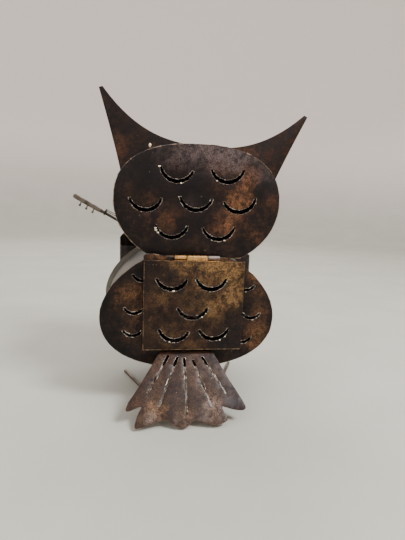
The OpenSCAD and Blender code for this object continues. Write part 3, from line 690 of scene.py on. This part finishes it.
# The face: spun rings and pressed domes for the eyes, and a folded beak
eyeSizes = {"x": 20, "z": 4, "ring": 15, "hole": 10.5, "dome": 7.5, "rise": 4, "lip": 0.25}
facePlace = (Matrix.Translation(Vector(headSizes["centre"]) * mm)
             @ Matrix.Rotation(math.radians(headSizes["turn"]), 4, "Z") @ Matrix.Rotation(-roll, 4, "Y"))
hole, ring, lip = eyeSizes["hole"], eyeSizes["ring"], eyeSizes["lip"]
ringProfile = [(hole, 0), (ring, 0), (ring, sheet - lip), (ring - lip, sheet), (hole + lip, sheet),
               (hole, sheet - lip)]
dome, rise = eyeSizes["dome"], eyeSizes["rise"]
arc = [math.radians(a) for a in range(0, 91, 6)]
domeProfile = [(dome * math.cos(a), rise * math.sin(a)) for a in arc]
domeProfile += [((dome - sheet) * math.cos(a), (rise - sheet) * math.sin(a)) for a in reversed(arc)]
rings, domes = [], []
for side in (-1, 1):
    eye = (facePlace @ Matrix.Translation(Vector((side * eyeSizes["x"], -plateOut, eyeSizes["z"])) * mm)
           @ Matrix.Rotation(math.radians(90), 4, "X"))
    rings.append(lathe(ringProfile, eye, 64))
    domes.append(lathe(domeProfile, eye, 48))
finish("eyeRings", join(rings), [goldPaint], "owl", ["eye_rings"])
finish("eyeDomes", join(domes), [goldPaint], "owl", ["eye_domes"])
finish("beak", fromCad("beak"), [goldPaint], "owl", ["beak"])
finish("leftWing", fromCad("left_wing"), [wingPaint], "owl", ["left_wing"])
finish("rightWing", fromCad("right_wing"), [wingPaint], "owl", ["right_wing"])

# The tail: a snipped and slotted fan that leans from the body down to the table
tailSizes = {"top": 31.4, "height": 33.6, "reach": 31, "sunk": 0.7, "ripple": 0.35, "sag": 0.25}
tailLength = math.hypot(tailSizes["height"], tailSizes["reach"])
# the cut edge, and each slot's ends, across and down as shares of the tail's length
tailEdge = [(0.515, 0.305), (0.645, 0.52), (0.735, 0.65), (0.765, 0.74), (0.725, 0.755), (0.555, 0.685),
            (0.62, 0.8), (0.655, 0.93), (0.635, 0.96), (0.495, 0.925), (0.28, 0.855), (0.225, 0.905),
            (0.165, 0.945), (0.075, 0.975), (0.01, 0.94), (-0.07, 0.865), (-0.15, 0.91), (-0.24, 0.935),
            (-0.34, 0.95), (-0.44, 0.915), (-0.475, 0.885), (-0.395, 0.715), (-0.54, 0.765), (-0.675, 0.785),
            (-0.72, 0.755), (-0.665, 0.63), (-0.545, 0.41), (-0.42, 0.2)]
tailSlots = [((0.23, 0.05), (0.5, 0.54)), ((0.115, 0.075), (0.365, 0.71)), ((0.03, 0.09), (0.025, 0.82)),
             ((-0.08, 0.12), (-0.285, 0.73)), ((-0.2, 0.08), (-0.48, 0.57))]
# each slot's width in mm from its top to its foot
slotWidths = [[1.7, 1.9, 1.6, 0.7, 0.9, 1.3, 1.4, 0.7, 0.9, 0.9],
              [1.7, 1.9, 1.5, 0.6, 0.7, 1.2, 0.9, 0.5, 1.1, 1.0],
              [1.5, 1.7, 1.4, 0.9, 1.1, 1.2, 0.9, 0.9, 0.9, 1.0],
              [1.7, 1.8, 0.7, 0.7, 1.3, 1.6, 0.8, 0.7, 1.0, 1.4],
              [1.7, 1.8, 1.4, 0.8, 0.8, 1.0, 0.9, 0.6, 0.8, 1.1]]


def roundOff(loop, passes=2):
    # cuts the corners of a drawn outline
    for step in range(passes):
        sides = [(Vector(a), Vector(b)) for a, b in zip(loop, loop[1:] + loop[:1])]
        loop = [tuple(a + (b - a) * t) for a, b in sides for t in (0.2, 0.8)]
    return loop


half = tailSizes["top"] / 2
top = [(-half, 0), (half, 0)]
fan = top + [(x * tailLength, -z * tailLength) for x, z in tailEdge]
# the top corners stay sharp
fan = top + roundOff(fan)[8:-8]
slots = []
for i, (ends, widths) in enumerate(zip(tailSlots, slotWidths)):
    start, end = [(x * tailLength, -z * tailLength) for x, z in ends]
    slots.append(longSlot(start, end, widths, 70 + i))
tailDown = Vector((0, tailSizes["reach"], -tailSizes["height"])).normalized()
tailUp = Vector((0, tailSizes["height"], tailSizes["reach"])).normalized()
tailPlace = Matrix(((1, 0, 0, 0), (0, -tailDown.y, -tailUp.y, plateOut * mm),
                    (0, -tailDown.z, -tailUp.z, tailSizes["height"] * mm), (0, 0, 0, 1)))
tailPlace = tailPlace @ Matrix.Translation((0, 0, -tailSizes["sunk"] * mm))


def curl(bm):
    # the sheet arches slightly across each lobe
    for vert in bm.verts:
        down = -vert.co.y / mm / tailLength
        ripple = tailSizes["ripple"] * math.sin(vert.co.x / mm * 0.42) * down ** 2
        vert.co.z += (ripple - tailSizes["sag"] * math.sin(math.pi * down)) * mm


bm = plate([fan] + slots)
bmesh.ops.triangulate(bm, faces=[f for f in bm.faces if len(f.verts) > 4])
# cut across and along, so that the sheet can curl
for level in range(4, 44, 4):
    bmesh.ops.bisect_plane(bm, geom=everything(bm), plane_co=(0, -level * mm, 0), plane_no=(0, 1, 0))
for across in range(-32, 36, 4):
    bmesh.ops.bisect_plane(bm, geom=everything(bm), plane_co=(across * mm, 0, 0), plane_no=(1, 0, 0))
curl(bm)
bm.transform(tailPlace)
finish("tailFan", bm, [tailPaint, cutEdge], "owl", ["tail"])
bm = burrs(slots, 0.2, 17, Matrix.Identity(4))
curl(bm)
bm.transform(tailPlace)
finish("tailSlotBurrs", bm, [tailBurr], "owl")
print("tail made")

# The feet: cut rods welded at the heel
# each toe is its length and its spread in degrees; the hip is shares of the heel's place, and a height
footSizes = {"x": 19.5, "y": 27, "radius": 1.1, "left": (46, 24), "right": (57, 21),
             "inner": ((54, -3), (46, -22)), "hip": (0.84, 0.56, 26.4), "weld": 1.7, "weldFoot": 1.0}


def rodPath(a, b, radius, steps=6):
    # a rod whose cut ends are slightly rounded
    a, b = Vector(a), Vector(b)
    points = [a + (b - a) * t for t in (0, 0.004, *[i / steps for i in range(1, steps)], 0.996, 1)]
    return points, [radius * 0.82] + [radius] * (len(points) - 2) + [radius * 0.82], False


for side, name, node, outer in ((1, "leftFoot", "left_foot", footSizes["left"]),
                                (-1, "rightFoot", "right_foot", footSizes["right"])):
    rod = footSizes["radius"]
    heel = Vector((side * footSizes["x"], footSizes["y"], rod))
    paths = []
    for length, spread in (outer,) + footSizes["inner"]:
        a = math.radians(spread)
        paths.append(rodPath(heel, heel + length * Vector((side * math.sin(a), -math.cos(a), 0)), rod))
    hipX, hipY, hipZ = footSizes["hip"]
    paths.append(rodPath(heel, (heel.x * hipX, heel.y * hipY, hipZ), rod))
    bm = wires(paths, 4)
    blob = bmesh.new()
    bmesh.ops.create_icosphere(blob, subdivisions=3, radius=footSizes["weld"] * mm)
    for vert in blob.verts:
        vert.co *= 1 + 0.12 * noise.noise(vert.co * 900 + Vector((side, 0, 0)))
        vert.co.z = max(vert.co.z, -footSizes["weldFoot"] * mm)
    bmesh.ops.translate(blob, vec=heel * mm, verts=blob.verts[:])
    finish(name, join([bm, blob]), [rodSteel], "owl", [node])

# The door: a shallow tray of sheet, folded at both sides and along the bottom
doorCuts = [(13.2, 16.2, 1), (-9.8, 16.4, -1), (0.6, -0.9, 0), (11.2, -14.6, 6), (-12.4, -13.8, -2)]
doorSlotSizes = {"chord": 17.6, "drop": 6.2, "fat": 2.5, "thin": 1.3}
doorSlots = [crescent(cut, seed=80 + i, **doorSlotSizes) for i, cut in enumerate(doorCuts)]
doorSizes = {"fold": doorHigh.y - doorLow.y - sheet, "margin": 2.5, "edge": 0.55}
doorW, doorH = doorHigh.x - doorLow.x, doorHigh.z - doorLow.z
doorCentre = (doorMiddle, 0, (doorLow.z + doorHigh.z) / 2)
doorPlace = standUp(doorHigh.y, centre=doorCentre)


def doorTray():
    bm = bmesh.new()
    frames = []
    for inset in (doorSizes["margin"], 0):
        wide, high = doorW / 2 - inset, doorH / 2 - inset
        corners = [bm.verts.new((sx * wide * mm, sz * high * mm, 0))
                   for sx, sz in ((-1, -1), (1, -1), (1, 1), (-1, 1))]
        frames.append([bm.edges.new((corners[i - 1], corners[i])) for i in range(4)])
    holes = []
    for loop in doorSlots:
        corners = [bm.verts.new((x * mm, z * mm, 0)) for x, z in loop]
        holes += [bm.edges.new((corners[i - 1], corners[i])) for i in range(len(corners))]
    bmesh.ops.triangle_fill(bm, use_beauty=True, use_dissolve=False, edges=frames[0] + holes,
                            normal=(0, 0, -1))
    bmesh.ops.bridge_loops(bm, edges=frames[0] + frames[1])
    folded = [e for e in frames[1] if min(v.co.y for v in e.verts) < 0]
    made = bmesh.ops.extrude_edge_only(bm, edges=folded)["geom"]
    bmesh.ops.translate(bm, verts=[g for g in made if isinstance(g, bmesh.types.BMVert)],
                        vec=(0, 0, (doorSizes["fold"] + sheet) * mm))
    bmesh.ops.recalc_face_normals(bm, faces=bm.faces[:])
    if sum(f.normal.z * f.calc_area() for f in bm.faces) > 0:
        bmesh.ops.reverse_faces(bm, faces=bm.faces[:])
    folds = [e for e in bm.edges if len(e.link_faces) == 2 and e.calc_face_angle() > 1]
    bmesh.ops.bevel(bm, geom=folds, offset=doorSizes["edge"] * mm, segments=4, profile=0.5,
                    affect="EDGES", material=-1)
    bmesh.ops.solidify(bm, geom=bm.faces[:], thickness=sheet * mm)
    return bm


bm = doorTray()
for face in bm.faces:
    face.material_index = 0
bm.transform(doorPlace)
finish("doorPanel", bm, [doorPaint], "door", ["door_panel"])
finish("doorSlotBurrs", burrs(doorSlots, 0.22, 27, doorPlace), [burrSteel], "door")
doorChips = [(0, 0.55, 0.7), (2, 0.75, 0.5), (2, 0.86, 0.4), (3, 0.45, 0.4), (4, 0.66, 0.5),
             (4, 0.8, 0.4), (1, 0.95, 0.3)]
finish("doorSlotChips", chips(doorSlots, doorChips, doorPlace), [weldSteel], "door")

# the door's folds and top edge, worn to a thin bright line, and a second line scribed below the top
wornSizes = {"radius": 0.17, "sunk": 0.06, "in": 0.35, "topIn": 0.15, "scribe": 2.4, "scribeIn": 1}
dice = random.Random(12)
left = doorW / 2 - wornSizes["in"]
foot = -doorH / 2 + wornSizes["in"]
top = doorH / 2 - wornSizes["topIn"]
scribed, scribeLeft = top - wornSizes["scribe"], left - wornSizes["scribeIn"]
# each line's ends, and its share of the full radius
wornLines = [((left, foot), (left, top), 1.0), ((left, foot), (-left, foot), 0.9),
             ((left, top), (-left, top), 1.0), ((scribeLeft, scribed), (-scribeLeft, scribed), 0.5)]
lines = []
for (x0, z0), (x1, z1), share in wornLines:
    count = 60
    points = [(x0 + (x1 - x0) * i / count, z0 + (z1 - z0) * i / count, wornSizes["sunk"])
              for i in range(count + 1)]
    radii = [share * wornSizes["radius"] * dice.choice((0.4, 0.7, 1.0)) for p in points]
    lines.append((points, radii, False))
bm = wires(lines)
bm.transform(doorPlace)
finish("doorWornEdges", bm, [wornGold], "door")

# The hinge: brass on the plate's side, the door's knuckle between
hingeSizes = {"x": -4.5, "width": 26.3, "middle": 11.8, "radius": 1.4, "pin": 0.8, "pinGap": 0.05,
              "gap": 0.3, "cornerCut": 0.18, "pinCut": 0.15}
joint = frame["joints"][0]
axis = Vector(joint["pos_m"]) / mm
alongX = Matrix.Rotation(math.radians(90), 4, "Y")
pin = hingeSizes["pin"]
hingeX, hingeWidth, hingeGap = hingeSizes["x"], hingeSizes["width"], hingeSizes["gap"]


def knuckle(x0, x1):
    bore, barrel, cut = pin + hingeSizes["pinGap"], hingeSizes["radius"], hingeSizes["cornerCut"]
    long = x1 - x0
    profile = [(bore, 0), (barrel - cut, 0), (barrel, cut), (barrel, long - cut), (barrel - cut, long),
               (bore, long)]
    return lathe(profile, Matrix.Translation(Vector((x0, axis.y, axis.z)) * mm) @ alongX, 40)


leafThick = hingeSizes["radius"] - pin - hingeSizes["pinGap"]
leafOut = hingeSizes["radius"] - leafThick / 2
ends = hingeX - hingeWidth / 2, hingeX + hingeWidth / 2
inner = hingeX - hingeSizes["middle"] / 2, hingeX + hingeSizes["middle"] / 2
outer = [(ends[0], inner[0] - hingeGap), (inner[1] + hingeGap, ends[1])]
leafTop = axis.z - hingeSizes["radius"] - hingeGap
for name, node, body, y, spans in (("doorLeaf", "door_leaf", "door", axis.y + leafOut, [inner]),
                                   ("plateLeaf", "plate_leaf", "owl", axis.y - leafOut, outer)):
    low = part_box(node)[0].z / mm
    parts = [block((hingeWidth, leafThick, leafTop - low), (hingeX, y, (leafTop + low) / 2), 0.08)]
    for x0, x1 in spans:
        parts.append(knuckle(x0, x1))
        middle = (x0 + x1) / 2, y, (axis.z + leafTop) / 2
        parts.append(block((x1 - x0, leafThick, axis.z - leafTop), middle, 0.06))
    whole = join(parts)
    for face in whole.faces:
        # the knuckle on the owl's right has lost its brass
        onRight = face.calc_center_median().x / mm < inner[0] - 0.1
        face.material_index = 1 if onRight and node == "plate_leaf" else 0
    finish(name, whole, [hingeBrass, hingeSteel], body, [node])
pinCut = hingeSizes["pinCut"]
pinProfile = [(0, 0), (pin - pinCut, 0), (pin, pinCut), (pin, hingeWidth - pinCut),
              (pin - pinCut, hingeWidth), (0, hingeWidth)]
pinPlace = Matrix.Translation(Vector((ends[0], axis.y, axis.z)) * mm) @ alongX
finish("hingePin", lathe(pinProfile, pinPlace, 24), [rodSteel], "owl", ["hinge_pin"])
print("door and hinge made")

# The candle pan: pressed tin with a rolled lip
panSizes = {"radius": 20.5, "height": 7.2, "lip": 0.3, "corner": 1, "inCorner": 0.6}
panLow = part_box("candle_pan")[0] / mm
panMiddle = ((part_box("candle_pan")[0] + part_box("candle_pan")[1]) / 2 / mm)
inside, lip, corner, inCorner = (panSizes[key] for key in ("radius", "lip", "corner", "inCorner"))
outside = inside + sheet
panTop = sheet + panSizes["height"]
panProfile = [(0, 0), (outside - corner, 0), (outside, corner), (outside, panTop - lip),
              (outside - lip, panTop), (inside + lip, panTop), (inside, panTop - lip),
              (inside, sheet + inCorner), (inside - inCorner, sheet), (0, sheet)]
panPlace = Matrix.Translation(Vector((panMiddle.x, panMiddle.y, panLow.z)) * mm)
finish("candlePan", lathe(panProfile, panPlace, 72), [tinPan], "owl", ["candle_pan"])
paintCad("candle_shelf", insideShadePaint)

# The guitar: its sheet and rod parts with their edges softened
# each part's name, CAD node, finish, edge rounding in mm and slot
guitarParts = [("guitarTop", "guitar_top", guitarPaint, 0.12, "gold_paint"),
               ("guitarRib", "guitar_rib", wingPaint, 0, "dark_paint"),
               ("guitarBack", "guitar_back", wingPaint, 0.12, "dark_paint"),
               ("guitarNeck", "guitar_neck", brownedRod, 0.1, "rod_steel"),
               ("guitarHeadstock", "guitar_headstock", rodSteel, 0.2, "rod_steel"),
               ("guitarPegs", "tuning_pegs", rodSteel, 0.12, "rod_steel"),
               ("guitarNut", "guitar_nut", brownedRod, 0.1, "rod_steel"),
               ("guitarBridge", "guitar_bridge", hingeSteel, 0.15, "rod_steel")]
for name, node, material, edge, slotName in guitarParts:
    finish(name, fromCad(node, edge), [material], "owl", [node])
paintCad("guitar_strings", rodSteel)
print("guitar made")

# Floor, light and camera: a pale studio bowl, so that no horizon shows. Its sizes are in metres
bowlSizes = {"flat": 1.1, "bend": 0.5, "top": 1.9}
flat, bend = bowlSizes["flat"], bowlSizes["bend"]
arc = [math.radians(a) for a in range(6, 91, 6)]
outline = [(0, 0), (flat, 0)]
outline += [(flat + bend * math.sin(a), bend - bend * math.cos(a)) for a in arc]
outline += [(flat + bend, bowlSizes["top"])]
bowl = bmesh.new()
corners = [bowl.verts.new((r, 0, z)) for r, z in outline]
edges = [bowl.edges.new(pair) for pair in zip(corners, corners[1:])]
bmesh.ops.spin(bowl, geom=corners + edges, cent=(0, 0, 0), axis=(0, 0, 1), angle=2 * math.pi,
               steps=96, use_merge=True)
bmesh.ops.remove_doubles(bowl, verts=bowl.verts[:], dist=mm)
bmesh.ops.recalc_face_normals(bowl, faces=bowl.faces[:])
bmesh.ops.reverse_faces(bowl, faces=bowl.faces[:])
for face in bowl.faces:
    face.smooth = True
mesh = bpy.data.meshes.new("studioBowl")
bowl.to_mesh(mesh)
bowl.free()
floor = bpy.data.objects.new("studioBowl", mesh)
bpy.context.scene.collection.objects.link(floor)
# matt warm-grey paper, faintly mottled, and paler above the floor: it gives no reflection
floorMaterial, tree, place = startMaterial("palePaperFloor")
mottled = addNode(tree, "TexNoise", {"Vector": place, "Scale": 1 / 60, "Detail": 3})
mottled = addNode(tree, "MapRange", {0: mottled, 1: 0.3, 2: 0.7})
mottled = addNode(tree, "Mix", {0: mottled, 6: "#a6a69d", 7: "#adada4"}, blend, mixed)
height = addNode(tree, "SeparateXYZ", {0: place}, output=2)
height = addNode(tree, "MapRange", {0: height, 1: 0, 2: 400}, smooth)
shade = addNode(tree, "Mix", {0: height, 6: mottled, 7: "#e6ddd9"}, blend, mixed)
paper = addNode(tree, "BsdfPrincipled", {"Base Color": shade, "Roughness": 0.85})
addNode(tree, "OutputMaterial", {"Surface": paper})
mesh.materials.append(floorMaterial)

# each light's place and diameter in metres, and its power in watts
lightSizes = {"key": ((-0.5, 0.45, 0.8), 0.3, 14.0), "fill": ((0.7, 0.6, 0.6), 0.8, 3.0),
              "wall": ((0.1, -0.7, 0.9), 1.0, 9.0)}
target = Vector((0, 0, 0.09))
for name, (spot, size, power) in lightSizes.items():
    data = bpy.data.lights.new(name, "AREA")
    data.shape = "DISK"
    data.size = size
    data.energy = power
    lamp = bpy.data.objects.new(name, data)
    lamp.location = spot
    lamp.rotation_euler = (target - Vector(spot)).to_track_quat("-Z", "Y").to_euler()
    bpy.context.scene.collection.objects.link(lamp)
world = bpy.data.worlds.new("studio")
bpy.context.scene.world = world
world.use_nodes = True
world.node_tree.nodes["Background"].inputs[0].default_value = linear("#e4ded9")
world.node_tree.nodes["Background"].inputs[1].default_value = 1.75

# the camera's place in metres, its angles in degrees and its lens in mm
cameraSizes = {"place": (0.026, 0.266, 0.1227), "heading": 8.33, "down": 9.46, "roll": 2.3, "lens": 27.07}
heading, down, tilt = (math.radians(cameraSizes[key]) for key in ("heading", "down", "roll"))
ahead = Vector((-math.sin(heading) * math.cos(down), -math.cos(heading) * math.cos(down), -math.sin(down)))
right = ahead.cross(Vector((0, 0, 1))).normalized()
up = right.cross(ahead)
right, up = right * math.cos(tilt) + up * math.sin(tilt), up * math.cos(tilt) - right * math.sin(tilt)
data = bpy.data.cameras.new("camera")
data.sensor_width = 36
data.lens = cameraSizes["lens"]
data.clip_start = 0.01
camera = bpy.data.objects.new("camera", data)
axes = Matrix((right, up, -ahead)).transposed().to_4x4()
camera.matrix_world = Matrix.Translation(cameraSizes["place"]) @ axes
bpy.context.scene.collection.objects.link(camera)
bpy.context.scene.camera = camera
print("stage set")
